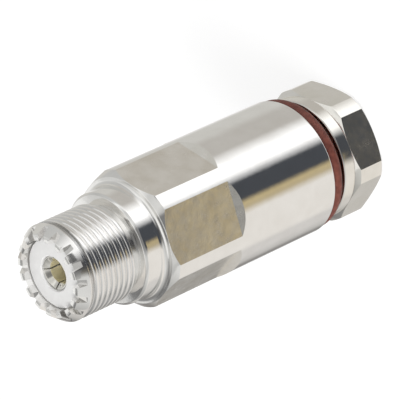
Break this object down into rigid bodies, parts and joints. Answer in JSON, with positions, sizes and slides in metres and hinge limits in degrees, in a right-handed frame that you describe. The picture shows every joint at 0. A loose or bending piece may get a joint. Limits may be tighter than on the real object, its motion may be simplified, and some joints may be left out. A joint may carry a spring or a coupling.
{
  "type": "uhf connector",
  "caption": "Cable socket connector with a toothed crown, coupling thread, wrench flats, ring seal and a hexagonal clamp nut that screws into its rear end.",
  "frame": {"origin": "centre of the clamp nut's rear face, on which the part stands", "axes": "+Z along the connector's axis, from the clamp nut towards the toothed crown of the socket end"},
  "size_m": [0.0225, 0.0224, 0.062],
  "materials": {
    "plated_shell": "bright nickel plate on turned brass",
    "plated_nut": "bright nickel plate on turned brass, a little warmer",
    "contact_metal": "silver plate, olive gold inside the bore",
    "insulator_white": "smooth white fluoropolymer",
    "seal_red": "dull red-brown silicone",
    "gasket_black": "matt black rubber",
    "washer_metal": "bare brass"
  },
  "bodies": {
    "nut": {"clamp_nut": "plated_nut"},
    "seal": {"nut_o_ring": "seal_red"},
    "shell": {"connector_shell": "plated_shell", "front_insulator": "insulator_white", "socket_contact": "contact_metal", "rear_bead": "insulator_white", "braid_clamp": "plated_shell", "cable_gasket": "gasket_black", "thrust_washer": "washer_metal"}
  },
  "joints": [
    {"name": "shell_turn", "type": "hinge", "parent": "nut", "child": "seal", "pos_m": [0, 0, 0.0111], "axis": [0, 0, 1], "range_deg": [0, 3600]},
    {"name": "shell_lift", "type": "slide", "parent": "seal", "child": "shell", "axis": [0, 0, 1], "range_m": [0, 0.01001]}
  ],
  "couplings": [
    {"joint": "shell_lift", "follows": "shell_turn", "m_per_rad": 0.00015915}
  ]
}
